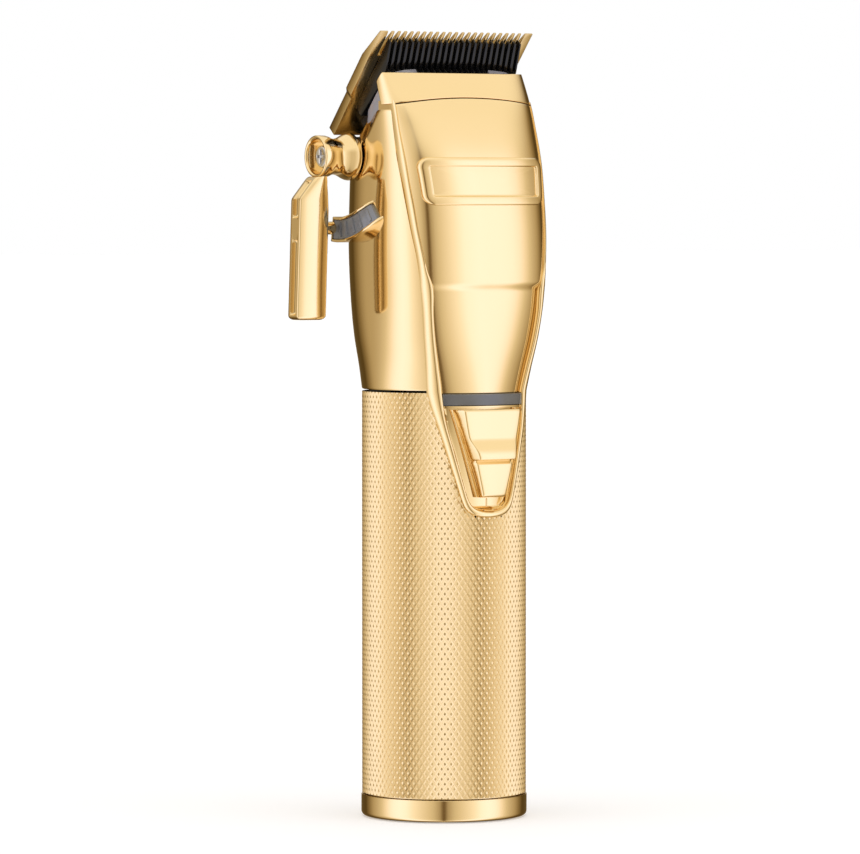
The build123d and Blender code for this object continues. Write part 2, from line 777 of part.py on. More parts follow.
with BuildPart() as lever_screw:
    with BuildSketch(Plane.YZ.offset(-29.6)):
        with Locations((hub_y, hub_z)):
            Circle(3.6)
    extrude(amount=1.55)
    fillet(lever_screw.edges().sort_by(Axis.X)[0], 0.8)
    with BuildSketch(Plane.YZ.offset(-28.5)):
        with Locations((hub_y, hub_z)):
            Circle(1.25)
    extrude(amount=7.5)
    with BuildSketch(Plane.YZ.offset(-30)):
        with Locations((hub_y, hub_z)):
            Rectangle(4.4, 0.9)
            Rectangle(0.9, 4.4)
    extrude(amount=1.1, mode=Mode.SUBTRACT)
save(lever_screw, "lever_screw")


def scale_sector(low_radius, high_radius, start_x, length, first, last):
    """A piece of ring round the hub, between two angles from straight down towards the front."""
    middle = (first + last) / 2

    def at(radius, angle):
        a = radians(angle)
        return (hub_y - radius * sin(a), hub_z - radius * cos(a))

    with BuildPart() as sector:
        with BuildSketch(Plane.YZ.offset(start_x)):
            with BuildLine():
                ThreePointArc(at(low_radius, first), at(low_radius, middle), at(low_radius, last))
                Line(at(low_radius, last), at(high_radius, last))
                ThreePointArc(at(high_radius, last), at(high_radius, middle), at(high_radius, first))
                Line(at(high_radius, first), at(low_radius, first))
            make_face()
        extrude(amount=length)
    return sector.part


with BuildPart() as scale_bracket:
    add(scale_sector(scale_inner, scale_outer, -24.5, 6, -8, 47))
    add(scale_sector(scale_inner + 0.65, scale_outer - 0.65, -25, 1.5, -10, 45.5), mode=Mode.SUBTRACT)
    add(skin, mode=Mode.SUBTRACT)
save(scale_bracket, "scale_bracket")

with BuildPart() as scale_strip:
    add(scale_sector(scale_inner + 0.7, scale_outer - 0.7, -24.6, 1.05, -7.5, 45))
    for step in range(5):
        angle = radians(2 + 9.6 * step)
        spot = (hub_y - 16.8 * sin(angle), hub_z - 16.8 * cos(angle))
        with BuildSketch(Plane.YZ.offset(-25)):
            with Locations(Location((spot[0], spot[1], 0), (0, 0, 90 + degrees(angle)))):
                SlotOverall(2.6, 0.6)
        extrude(amount=0.55, mode=Mode.SUBTRACT)
save(scale_strip, "scale_strip")
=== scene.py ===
import json
import math
import bmesh
import bpy
import numpy as np
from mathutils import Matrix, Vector

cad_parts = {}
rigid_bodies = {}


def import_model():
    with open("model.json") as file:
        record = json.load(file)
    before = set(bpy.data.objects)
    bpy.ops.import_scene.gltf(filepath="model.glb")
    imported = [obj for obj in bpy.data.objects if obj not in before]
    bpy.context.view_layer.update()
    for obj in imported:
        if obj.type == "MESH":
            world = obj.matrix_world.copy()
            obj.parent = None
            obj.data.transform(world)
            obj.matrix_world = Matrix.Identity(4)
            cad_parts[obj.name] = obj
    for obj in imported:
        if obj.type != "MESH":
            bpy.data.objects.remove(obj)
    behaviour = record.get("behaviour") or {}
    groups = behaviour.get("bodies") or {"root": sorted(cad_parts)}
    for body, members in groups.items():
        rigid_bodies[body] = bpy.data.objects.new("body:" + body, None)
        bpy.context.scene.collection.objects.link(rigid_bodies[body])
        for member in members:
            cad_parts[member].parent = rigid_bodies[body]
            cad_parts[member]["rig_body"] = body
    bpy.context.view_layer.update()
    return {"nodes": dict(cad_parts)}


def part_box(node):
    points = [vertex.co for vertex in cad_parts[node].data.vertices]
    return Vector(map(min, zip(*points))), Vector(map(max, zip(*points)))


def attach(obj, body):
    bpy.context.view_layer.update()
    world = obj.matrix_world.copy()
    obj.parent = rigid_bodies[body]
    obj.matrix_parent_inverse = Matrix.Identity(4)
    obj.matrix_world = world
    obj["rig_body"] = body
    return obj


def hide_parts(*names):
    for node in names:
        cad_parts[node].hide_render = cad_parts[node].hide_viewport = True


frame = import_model()

MM = 0.001
SCENE = bpy.context.scene

# ------------------------------------------------------------------ sizes, in mm
barrel_low, barrel_high = (Vector(c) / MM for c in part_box("barrel_grip"))
barrel_radius = barrel_high.x
ring_high = Vector(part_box("end_ring")[1]) / MM
seam_height, seam_rise, cap_top = 163.9, 2.1, 171.8
head_bottom = 98.88
light_low, light_high = 95.6, 98.2
hub_y, hub_z = 7.5, 152.5

# height, half width, front depth, back depth, front roundness, back roundness
head_stations = np.array([
    (98.8, 19.0, 19.0, 19.0, 2.0, 2.0),
    (104.0, 19.5, 19.35, 19.1, 2.2, 2.1),
    (111.0, 20.3, 19.8, 19.2, 2.55, 2.3),
    (122.0, 21.0, 20.2, 19.2, 2.95, 2.5),
    (133.0, 21.2, 19.8, 19.2, 3.0, 2.6),
    (143.0, 21.0, 18.7, 19.1, 3.0, 2.6),
    (152.0, 20.7, 16.9, 18.9, 3.1, 2.6),
    (159.0, 20.3, 14.0, 18.5, 3.3, 2.7),
    (165.0, 20.0, 10.8, 18.0, 3.6, 2.8),
    (170.0, 19.6, 7.3, 17.0, 3.8, 2.9),
    (174.0, 19.2, 4.2, 16.0, 4.0, 3.0)])
# height, half width to the ridge's outer edge, to its inner edge
ridge_line = np.array([
    (165.5, 19.1, 18.5), (158, 19.3, 18.7), (152, 19.4, 18.5), (146, 19.1, 18.2),
    (141.6, 18.8, 17.8), (135.5, 18.3, 17.3), (129, 17.5, 16.3), (126, 17.2, 15.7),
    (124.3, 17.05, 15.1), (122.8, 16.95, 14.65), (121, 16.75, 14.45), (117.5, 16.35, 14.35),
    (110.7, 15.5, 13.45), (104, 14.35, 12.0), (99, 13.6, 10.95), (95.4, 12.9, 10.6),
    (90.6, 11.65, 9.9), (86, 10.4, 8.75), (80.7, 8.95, 7.4), (76.3, 7.7, 6.2)])


def smooth_curve(keys, values, at):
    """Cubic through the given keys, with slopes from the neighbouring keys."""
    keys, values, at = np.asarray(keys, float), np.asarray(values, float), np.asarray(at, float)
    slopes = np.gradient(values, keys)
    i = np.clip(np.searchsorted(keys, at) - 1, 0, len(keys) - 2)
    step = keys[i + 1] - keys[i]
    t = np.clip((at - keys[i]) / step, 0, 1)
    return ((2 * t**3 - 3 * t**2 + 1) * values[i] + (t**3 - 2 * t**2 + t) * step * slopes[i]
            + (3 * t**2 - 2 * t**3) * values[i + 1] + (t**3 - t**2) * step * slopes[i + 1])


def level(z):
    """Half width, front depth, back depth and the two roundnesses at one height."""
    z = max(z, head_stations[0, 0])
    return [float(smooth_curve(head_stations[:, 0], head_stations[:, k], z)) for k in range(1, 6)]


def front_y(x, z, grow):
    """Depth of the front of the body at x, z, moved out by grow."""
    a, b, _, n, _ = level(z)
    r = min(abs(x) / (a + grow), 0.9995)
    return -(b + grow) * (1 - r**n) ** (1 / n)


def section(z, grow, count=720):
    """Closed outline at one height, starting at the middle of the front and going to +X first."""
    a, bf, bb, nf, nb = level(z)
    angle = np.linspace(-math.pi / 2, 1.5 * math.pi, count + 1)
    c, s = np.cos(angle), np.sin(angle)
    power = np.where(s > 0, nb, nf)
    depth = np.where(s > 0, bb, bf) + grow
    x = (a + grow) * np.abs(c) ** (2 / power) * np.sign(c)
    y = depth * np.abs(s) ** (2 / power) * np.sign(s)
    return np.stack([x, y], 1)


def cut_section(z, grow, count, start_test, end_test):
    """count points evenly spaced from the first point passing start_test to the last passing end_test."""
    outline = section(z, grow)
    first = int(np.argmax(start_test(outline)))
    last = len(outline) - 1 - int(np.argmax(end_test(outline[::-1])))
    part = outline[first:last + 1]
    along = np.concatenate([[0], np.cumsum(np.linalg.norm(np.diff(part, axis=0), axis=1))])
    want = np.linspace(0, along[-1], count)
    return np.stack([np.interp(want, along, part[:, 0]), np.interp(want, along, part[:, 1])], 1)


# ------------------------------------------------------------------ mesh helpers
def make_object(name, vertices, faces, sharp=32.0):
    mesh = bpy.data.meshes.new(name)
    mesh.from_pydata([tuple(v) for v in np.asarray(vertices, float) * MM], [], [tuple(f) for f in faces])
    mesh.validate()
    mesh.update()
    obj = bpy.data.objects.new(name, mesh)
    SCENE.collection.objects.link(obj)
    tidy_normals(obj, sharp)
    return obj


def tidy_normals(obj, sharp):
    mesh = obj.data
    work = bmesh.new()
    work.from_mesh(mesh)
    bmesh.ops.recalc_face_normals(work, faces=work.faces)
    work.to_mesh(mesh)
    work.free()
    mesh.shade_smooth()
    if sharp is not None:
        mesh.set_sharp_from_angle(angle=math.radians(sharp))


def apply_modifiers(obj, sharp=32.0):
    graph = bpy.context.evaluated_depsgraph_get()
    mesh = bpy.data.meshes.new_from_object(obj.evaluated_get(graph))
    old = obj.data
    obj.modifiers.clear()
    obj.data = mesh
    bpy.data.meshes.remove(old)
    mesh.name = obj.name
    mesh.shade_smooth()
    if sharp is not None:
        mesh.set_sharp_from_angle(angle=math.radians(sharp))
    return obj


def grid_faces(rows, columns, closed=False):
    faces = []
    for i in range(rows - 1):
        for j in range(columns if closed else columns - 1):
            k = (j + 1) % columns
            faces.append((i * columns + j, i * columns + k, (i + 1) * columns + k, (i + 1) * columns + j))
    return faces


def tube_object(name, rings, sharp=32.0):
    """Closed solid through a row of rings of points, with a flat face at each end."""
    rings = np.asarray(rings, float)
    count, around = rings.shape[:2]
    faces = grid_faces(count, around, closed=True)
    faces += [tuple(range(around)), tuple(range((count - 1) * around, count * around))[::-1]]
    return make_object(name, rings.reshape(-1, 3), faces, sharp)


def sheet_object(name, grid, thickness, edge=0.12, outward=(0, -1, 0), sharp=40.0):
    """A grid of points given real thickness on its inner side, with small rounded edges."""
    rows, columns, _ = grid.shape
    mesh = bpy.data.meshes.new(name)
    mesh.from_pydata([tuple(v) for v in grid.reshape(-1, 3) * MM], [], grid_faces(rows, columns))
    mesh.update()
    obj = bpy.data.objects.new(name, mesh)
    SCENE.collection.objects.link(obj)
    middle = mesh.polygons[len(mesh.polygons) // 2]
    if middle.normal.dot(Vector(outward)) < 0:
        mesh.flip_normals()
    solid = obj.modifiers.new("thickness", "SOLIDIFY")
    solid.thickness, solid.offset = thickness * MM, -1
    solid.use_even_offset = False
    round_edges(obj, edge, 2, 50)
    return apply_modifiers(obj, sharp)


def round_edges(obj, width, segments=2, angle=35.0):
    bevel = obj.modifiers.new("edges", "BEVEL")
    bevel.width, bevel.segments = width * MM, segments
    bevel.limit_method, bevel.angle_limit = "ANGLE", math.radians(angle)
    bevel.use_clamp_overlap = True
    bevel.miter_outer = "MITER_ARC"
    return bevel


def turned(name, profile, origin, axis="X", steps=96, sweep=(0, 360), sharp=32.0):
    """Profile of (along, radius) turned round an axis through origin."""
    profile = np.asarray(profile, float)
    full = sweep[1] - sweep[0] >= 360
    angles = np.radians(np.linspace(sweep[0], sweep[1], steps + 1)[:steps if full else steps + 1])
    vertices = []
    for t in angles:
        for along, r in profile:
            c, s = r * math.cos(t), r * math.sin(t)
            offset = (along, c, s) if axis == "X" else (c, s, along)
            vertices.append([origin[0] + offset[0], origin[1] + offset[1], origin[2] + offset[2]])
    n, faces = len(profile), []
    for i in range(len(angles) if full else len(angles) - 1):
        k = (i + 1) % len(angles)
        for j in range(n - 1):
            faces.append((i * n + j, k * n + j, k * n + j + 1, i * n + j + 1))
    obj = make_object(name, vertices, faces, None)
    work = bmesh.new()
    work.from_mesh(obj.data)
    bmesh.ops.remove_doubles(work, verts=work.verts, dist=1e-7)
    work.to_mesh(obj.data)
    work.free()
    tidy_normals(obj, sharp)
    return obj


def bevelled_copy(node, name, width, segments=2, angle=32.0, dissolve=2.0, sharp=32.0):
    """The CAD node's own shape as a new piece, with rounded edges."""
    source = frame["nodes"][node]
    mesh = source.data.copy()
    mesh.materials.clear()
    obj = bpy.data.objects.new(name, mesh)
    SCENE.collection.objects.link(obj)
    work = bmesh.new()
    work.from_mesh(mesh)
    bmesh.ops.remove_doubles(work, verts=work.verts, dist=2e-6)
    if dissolve:
        bmesh.ops.dissolve_limit(work, angle_limit=math.radians(dissolve), verts=work.verts,
                                 edges=work.edges)
    bmesh.ops.recalc_face_normals(work, faces=work.faces)
    work.to_mesh(mesh)
    work.free()
    round_edges(obj, width, segments, angle)
    apply_modifiers(obj, sharp)
    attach(obj, source["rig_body"])
    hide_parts(node)
    return obj


# ------------------------------------------------------------------ materials
def material(name, colour, metallic, rough, rough_spread=0.03, tint=0.06, scale=60.0, bump=0.02,
             bump_scale=900.0, stretch=(1, 1, 1), coat=0.0):
    """Procedural surface: broad tone changes, fine grain in the gloss and a slight surface texture."""
    mat = bpy.data.materials.new(name)
    mat.use_nodes = True
    nodes, links = mat.node_tree.nodes, mat.node_tree.links
    shader = nodes["Principled BSDF"]
    shader.inputs["Metallic"].default_value = metallic
    if coat:
        shader.inputs["Coat Weight"].default_value = coat
        shader.inputs["Coat Roughness"].default_value = 0.05
    where = nodes.new("ShaderNodeTexCoord")
    place = nodes.new("ShaderNodeMapping")
    place.inputs["Scale"].default_value = stretch
    links.new(where.outputs["Object"], place.inputs["Vector"])
    broad = nodes.new("ShaderNodeTexNoise")
    broad.inputs["Scale"].default_value = scale
    broad.inputs["Detail"].default_value = 3
    links.new(place.outputs["Vector"], broad.inputs["Vector"])
    mix = nodes.new("ShaderNodeMix")
    mix.data_type = "RGBA"
    mix.inputs["A"].default_value = [*[c * (1 - tint) for c in colour], 1]
    mix.inputs["B"].default_value = [*[min(1, c * (1 + tint * 0.5)) for c in colour], 1]
    links.new(broad.outputs["Fac"], mix.inputs["Factor"])
    links.new(mix.outputs["Result"], shader.inputs["Base Color"])
    fine = nodes.new("ShaderNodeTexNoise")
    fine.inputs["Scale"].default_value = bump_scale
    fine.inputs["Detail"].default_value = 2
    links.new(place.outputs["Vector"], fine.inputs["Vector"])
    span = nodes.new("ShaderNodeMapRange")
    span.inputs["To Min"].default_value = max(0.0, rough - rough_spread)
    span.inputs["To Max"].default_value = rough + rough_spread
    links.new(fine.outputs["Fac"], span.inputs["Value"])
    links.new(span.outputs["Result"], shader.inputs["Roughness"])
    if bump:
        relief = nodes.new("ShaderNodeBump")
        relief.inputs["Strength"].default_value = bump
        relief.inputs["Distance"].default_value = 0.0002
        links.new(fine.outputs["Fac"], relief.inputs["Height"])
        links.new(relief.outputs["Normal"], shader.inputs["Normal"])
    return mat


gold = material("polished gold", (0.85, 0.665, 0.375), 1.0, 0.10, 0.015, 0.02, 40, 0.0)
satin = material("satin knurled gold", (0.83, 0.65, 0.365), 1.0, 0.28, 0.04, 0.04, 60, 0.02)
blade_gold = material("blade gold", (0.62, 0.46, 0.22), 1.0, 0.24, 0.04, 0.06, 80, 0.03, 1200)
black_gloss = material("black blade", (0.006, 0.006, 0.007), 0.0, 0.17, 0.03, 0.1, 80, 0.02)
black_gloss.node_tree.nodes["Principled BSDF"].inputs["Specular IOR Level"].default_value = 0.35
black_plastic = material("black plastic", (0.02, 0.02, 0.021), 0.0, 0.45, 0.06, 0.1, 80, 0.15)
grey_plastic = material("grey plastic", (0.20, 0.21, 0.235), 0.0, 0.28, 0.04, 0.08, 80, 0.05, coat=0.3)
grey_lens = material("grey window", (0.115, 0.118, 0.125), 0.0, 0.14, 0.02, 0.25, 260, 0.0, coat=0.5)
frame_grey = material("grey frame", (0.30, 0.30, 0.35), 0.0, 0.22, 0.04, 0.06, 80, 0.03, coat=0.4)
steel = material("steel", (0.66, 0.67, 0.70), 1.0, 0.2, 0.04, 0.05, 60, 0.03)
brass = material("plated brass", (0.88, 0.66, 0.34), 1.0, 0.25, 0.04, 0.05, 60, 0.03)
wrap = material("cell wrap", (0.06, 0.16, 0.36), 0.0, 0.35, 0.05, 0.05, 60, 0.05)
board = material("board", (0.015, 0.11, 0.05), 0.0, 0.4, 0.05, 0.1, 200, 0.05)

cad_looks = {"base_plate": black_plastic, "dc_socket": black_plastic, "charging_contacts": brass,
             "battery_holder": black_plastic, "battery_cell": wrap, "circuit_board": board,
             "board_parts": black_plastic, "micro_switch": black_plastic, "chassis": black_plastic,
             "motor_can": steel, "motor_plate": steel, "motor_screws": steel,
             "carriage_guide": black_plastic, "lever_bushing": brass, "lever_shaft": steel,
             "blade_carriage": black_plastic, "drive_fork": black_plastic, "motor_rotor": steel,
             "crank": steel, "switch_bed": gold}
for node, look in cad_looks.items():
    obj = frame["nodes"][node]
    obj.data.materials.clear()
    obj.data.materials.append(look)


def finish_piece(obj, look, body, slot, *nodes):
    obj.data.materials.clear()
    obj.data.materials.append(look)
    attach(obj, body)
    if nodes:
        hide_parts(*nodes)
    return obj


# ------------------------------------------------------------------ knurled barrel
def outer_half(z):
    return float(np.interp(z, ridge_line[::-1, 0], ridge_line[::-1, 1]))


def inner_half(z):
    return float(np.interp(z, ridge_line[::-1, 0], ridge_line[::-1, 2]))


def inside_cover(x, y, z, margin):
    if y > 0 or z < 70.4:
        return False
    edge = outer_half(z) if z > 76.3 else np.interp(z, [69.6, 70.4, 72.0, 76.3], [0, 4.0, 6.3, 7.7])
    return abs(x) < edge - margin


def knurled_barrel():
    around, up = 82, 81
    low, high = barrel_low.z, barrel_high.z
    band = 0.25
    pitch = (high - low - 2 * band) / up
    crest, root, flat = barrel_radius, barrel_radius - 0.22, 0.36
    step = math.pi / around
    vertices, faces, index = [], [], {}

    def at(column, row, radius):
        t = column * step
        z = low + band + row * pitch
        key = (round(column, 3) % (2 * around), round(row, 3), radius)
        if key not in index:
            index[key] = len(vertices)
            vertices.append((radius * math.sin(t), -radius * math.cos(t), z))
        return index[key]

    for row in range(0, up + 1):
        for column in range(0, 2 * around):
            if (row + column) % 2:
                continue
            t = column * step
            z = low + band + row * pitch
            if inside_cover(barrel_radius * math.sin(t), -math.cos(t), z, 0.95):
                continue
            corners = [(column + 1, row), (column, row + 1), (column - 1, row), (column, row - 1)]
            small = [(column + flat, row), (column, row + flat), (column - flat, row), (column, row - flat)]
            if row == 0 or row == up:
                keep = 1 if row == 0 else -1
                base = [at(column - 1, row, root), at(column + 1, row, root), at(column, row + keep, root)]
                tops = [at(column - flat, row, crest), at(column + flat, row, crest),
                        at(column, row + keep * flat, crest)]
                faces += [(base[0], tops[0], tops[2], base[2]), (base[1], base[2], tops[2], tops[1]),
                          (tops[0], tops[1], tops[2])]
                continue
            outer = [at(c, r, root) for c, r in corners]
            inner = [at(c, r, crest) for c, r in small]
            faces.append(tuple(inner))
            for k in range(4):
                m = (k + 1) % 4
                faces.append((outer[k], outer[m], inner[m], inner[k]))
    obj = make_object("barrel_knurl", vertices, faces, 12)
    return obj


finish_piece(knurled_barrel(), satin, "housing", "knurled_gold", "barrel_grip")
r = barrel_radius
profile = [(barrel_low.z, r - 1.2), (barrel_low.z, r - 0.45), (barrel_low.z + 0.08, r - 0.33),
           (barrel_low.z + 0.25, r - 0.30)]
sleeve = turned("barrel_ends", profile, (0, 0, 0), "Z", 128)
finish_piece(sleeve, satin, "housing", "knurled_gold", "barrel_grip")
R, top = ring_high.x, ring_high.z
profile = [(0.02, 17.4), (0.0, 17.9)]
profile += [(1.1 - 1.1 * math.sin(t), R - 1.1 + 1.1 * math.cos(t)) for t in np.radians(np.linspace(90, 0, 9))]
profile += [(top - 0.25, R), (top - 0.07, R - 0.07), (top, R - 0.25), (top, 17.4), (0.02, 17.4)]
end_ring = turned("end_ring_polished", profile, (0, 0, 0), "Z", 160)
finish_piece(end_ring, gold, "housing", "polished_gold", "end_ring")


# ------------------------------------------------------------------ head shell
def column_table(low, high, count, columns, start_test, end_test, grow=0.0):
    heights = np.linspace(low, high, count)
    return heights, np.array([cut_section(z, grow, columns, start_test(z), end_test(z)) for z in heights])


def trimmed_grid(heights, table, low, tops, rows):
    """Rows spaced from low up to each column's own top."""
    columns = table.shape[1]
    grid = np.zeros((rows, columns, 3))
    for j in range(columns):
        z = low[j] + (tops[j] - low[j]) * np.linspace(0, 1, rows)
        grid[:, j, 0] = np.interp(z, heights, table[:, j, 0])
        grid[:, j, 1] = np.interp(z, heights, table[:, j, 1])
        grid[:, j, 2] = z
    return grid


cheek = np.array([(-40, 163.3), (-4.2, 163.3), (-1.0, 163.25), (1.6, 162.7), (4.5, 161.6), (8.8, 159.3),
                  (12, 157.3), (14.5, 155.8), (17, 154.6), (30, 153.0)])
heights, table = column_table(
    head_bottom, 163.6, 100, 181,
    lambda z: lambda o, h=outer_half(z): (o[:, 0] > h - 0.45) & (o[:, 1] < 0),
    lambda z: lambda o, h=outer_half(z): (o[:, 0] < -(h - 0.45)) & (o[:, 1] < 0))
tops = []
for j in range(table.shape[1]):
    gap = heights - np.interp(table[:, j, 1], cheek[:, 0], cheek[:, 1])
    over = np.argmax(gap > 0) if (gap > 0).any() else len(heights) - 1
    crossing = np.interp(0, gap[over - 1:over + 1], heights[over - 1:over + 1])
    tops.append(crossing if gap[over] > 0 else heights[-1])
low = np.full(table.shape[1], head_bottom)
grid = trimmed_grid(heights, table, low, tops, 120)
for j in range(grid.shape[1]):
    top, y = grid[-1, j, 2], grid[-1, j, 1]
    ramp = min(1.0, max(0.0, (y + 5.0) / 9.0))
    reach = 6.0 * ramp * ramp * (3 - 2 * ramp)
    if reach > 0.02:
        down = np.clip(1 - (top - grid[:, j, 2]) / reach, 0, 1)
        inward = 0.42 * reach * down
        size = np.linalg.norm(grid[:, j, :2], axis=1)
        grid[:, j, 0] *= 1 - inward / size
        grid[:, j, 1] *= 1 - 0.5 * inward / size
shell = sheet_object("head_shell_polished", grid, 1.4, 0.35, (0, 1, 0))
finish_piece(shell, gold, "housing", "polished_gold", "head_shell")


# ------------------------------------------------------------------ front cover: panel and ridge
def seam_at(x):
    return seam_height - 0.6 + (seam_rise + 0.6) * (1 - (x / 25) ** 2)


def panel_grow(z):
    t = min(max((z - 121.5) / 2.4, 0), 1)
    return -0.6 + 0.9 * (t * t * (3 - 2 * t))


columns, rows = 97, 150
grid = np.zeros((rows, columns, 3))
for j, u in enumerate(np.linspace(-1, 1, columns)):
    top = seam_at(u * 18.8) - 0.12
    span = np.concatenate([np.linspace(98.3, 119, 40, endpoint=False),
                           np.linspace(119, 126, 40, endpoint=False), np.linspace(126, top, rows - 80)])
    for i, z in enumerate(span):
        x = u * (0.5 * inner_half(z) + 0.5 * outer_half(z))
        grid[i, j] = (x, front_y(x, z, panel_grow(z)), z)
finish_piece(sheet_object("front_panel", grid, 1.0, 0.15), gold, "housing", "polished_gold", "front_cover")


def ridge_path():
    """Points down the right side, round the tip and up the left: outer edge, inner edge."""
    z = np.concatenate([np.arange(165.2, 127, -0.8), np.arange(127, 119, -0.25), np.arange(119, 76.3, -0.7)])
    outer = [(float(smooth_curve(ridge_line[::-1, 0], ridge_line[::-1, 1], v)), v) for v in z]
    inner = [(float(smooth_curve(ridge_line[::-1, 0], ridge_line[::-1, 2], v)), v) for v in z]
    tip_outer = np.array([(7.7, 76.3), (7.0, 73.9), (6.1, 71.9), (4.6, 70.6), (2.4, 69.95), (0, 69.75)])
    tip_inner = np.array([(6.2, 76.3), (5.6, 74.4), (4.8, 73.0), (3.6, 72.05), (1.9, 71.55), (0, 71.4)])
    steps = np.linspace(0, 5, 26)
    for edge, tip in ((outer, tip_outer), (inner, tip_inner)):
        edge += [tuple(float(smooth_curve(range(6), tip[:, k], t)) for k in (0, 1)) for t in steps]
    outer += [(-x, v) for x, v in outer[-2::-1]]
    inner += [(-x, v) for x, v in inner[-2::-1]]
    return np.array(outer), np.array(inner)


outer, inner = ridge_path()
shape = [(-1.0, -1.3), (-1.0, -0.35), (-0.97, 0.05), (-0.86, 0.42), (-0.66, 0.72), (-0.36, 0.92), (0.0, 1.0),
         (0.36, 0.92), (0.66, 0.7), (0.88, 0.36), (0.98, 0.0), (1.03, -0.45), (1.03, -1.3)]
rings = []
for k in range(len(outer)):
    (xo, zo), (xi, zi) = outer[k], inner[k]
    z_mid = (zo + zi) / 2
    crown = float(np.interp(z_mid, [90, 110, 123, 127, 150, 165], [0.95, 0.95, 0.95, 0.85, 0.7, 0.55]))
    ring = []
    for across, lift in shape:
        t = (1 - across) / 2
        x, z = xi + (xo - xi) * t, zi + (zo - zi) * t
        drop = lift * crown if lift > 0 else lift * (1.9 if z_mid < 98 and across > 0 else 1.0)
        ring.append((x, front_y(x, z, drop), z))
    rings.append(ring)
finish_piece(tube_object("front_ridge", rings, 50), gold, "housing", "polished_gold", "front_cover")

# the strip of cover between the light bar and the switch opening
grid = np.zeros((8, 41, 3))
for j, u in enumerate(np.linspace(-1, 1, 41)):
    for i, z in enumerate(np.linspace(94.95, 95.5, 8)):
        x = u * (inner_half(z) + 0.3)
        grid[i, j] = (x, front_y(x, z, 0.25), z)
finish_piece(sheet_object("switch_lip", grid, 2.0, 0.12), gold, "housing", "polished_gold", "front_cover")

# ------------------------------------------------------------------ light bar
grid = np.zeros((7, 61, 3))
for j, u in enumerate(np.linspace(-1, 1, 61)):
    for i, z in enumerate(np.linspace(light_low, light_high, 7)):
        x = u * 10.95
        grid[i, j] = (x, front_y(x, z, 0.3), z)
finish_piece(sheet_object("light_window", grid, 1.4, 0.2), grey_lens, "housing", "grey_lens", "light_bar")

# ------------------------------------------------------------------ nose cap
rear = np.array([(160, -6.1), (163.6, -4.6), (169.7, -2.0), (171.8, -3.4)])


def rear_at(z):
    return float(np.interp(z, rear[:, 0], rear[:, 1]))


def cap_section(z, count=161):
    """The cap's outer line at one height, from its rear edge on the left round the front to the right."""
    a, b, _, n, _ = level(z)
    a, b = a + 0.35, b + 0.35
    t = np.linspace(0, math.pi / 2, 400)
    x, y = a * np.sin(t) ** (2 / n), -b * np.cos(t) ** (2 / n)
    keep = y <= rear_at(z)
    x, y = x[keep], y[keep]
    along = np.concatenate([[0], np.cumsum(np.hypot(np.diff(x), np.diff(y)))])
    want = np.linspace(0, along[-1], count // 2 + 1)
    x, y = np.interp(want, along, x), np.interp(want, along, y)
    return np.stack([np.concatenate([-x[:0:-1], x]), np.concatenate([y[:0:-1], y])], 1)


heights = np.linspace(162.6, cap_top, 50)
table = np.array([cap_section(z) for z in heights])
low = []
for j in range(table.shape[1]):
    gap = heights - np.array([seam_at(x) + 0.12 for x in table[:, j, 0]])
    over = max(1, int(np.argmax(gap > 0)))
    low.append(float(np.interp(0, gap[over - 1:over + 1], heights[over - 1:over + 1])))
grid = trimmed_grid(heights, table, low, [cap_top - 0.02] * table.shape[1], 26)
finish_piece(sheet_object("nose_cap_polished", grid, 1.3, 0.22), gold, "housing", "polished_gold", "nose_cap")


# ------------------------------------------------------------------ name plate
def plate_loop(top_half, top_z, low_half, low_z, radius, grow, corner=9):
    loop = []
    for sx, sz, half, z in ((1, 1, top_half, top_z), (-1, 1, top_half, top_z), (-1, -1, low_half, low_z),
                            (1, -1, low_half, low_z)):
        first = {(1, 1): 0, (-1, 1): 90, (-1, -1): 180, (1, -1): 270}[sx, sz]
        for k in range(corner):
            t = math.radians(first + 90 * k / (corner - 1))
            loop.append((sx * (half - radius) + radius * math.cos(t), z - sz * radius + radius * math.sin(t)))
    spaced = []
    for k, (x, z) in enumerate(loop):
        x2, z2 = loop[(k + 1) % len(loop)]
        cuts = 14 if math.hypot(x2 - x, z2 - z) > 8 else (5 if math.hypot(x2 - x, z2 - z) > 3 else 1)
        spaced += [(x + (x2 - x) * c / cuts, z + (z2 - z) * c / cuts) for c in range(cuts)]
    return [(x, front_y(x, z, grow), z) for x, z in spaced]


def inset_loop(step, grow, inner=False, radius=2.4):
    if inner:
        return plate_loop(14.9 - step, 150.45 - step, 14.5 - step, 143.25 + step, max(0.25, 0.7 - step), grow)
    return plate_loop(16.9 - step, 152.3 - step, 16.4 - step, 141.4 + step, max(0.3, radius - step), grow)


loops = [inset_loop(0, 0.1), inset_loop(0.02, 0.72), inset_loop(0.1, 0.9), inset_loop(0.28, 1.02),
         inset_loop(0.55, 1.06), inset_loop(0.95, 1.04), inset_loop(-0.15, 1.0, True),
         inset_loop(0.0, 0.96, True), inset_loop(0.12, 0.85, True), inset_loop(0.2, 0.6, True),
         inset_loop(0.3, 0.5, True), inset_loop(0.6, 0.48, True)]
for share in (0.8, 0.6, 0.4, 0.2, 0.05):
    loops.append([(x, front_y(x, z, 0.48), z) for x, z in
                  [(p[0] * (0.25 + 0.75 * share), 146.85 + (p[2] - 146.85) * share) for p in loops[11]]])
finish_piece(tube_object("name_plate", loops, 60), gold, "housing", "polished_gold", "nameplate")

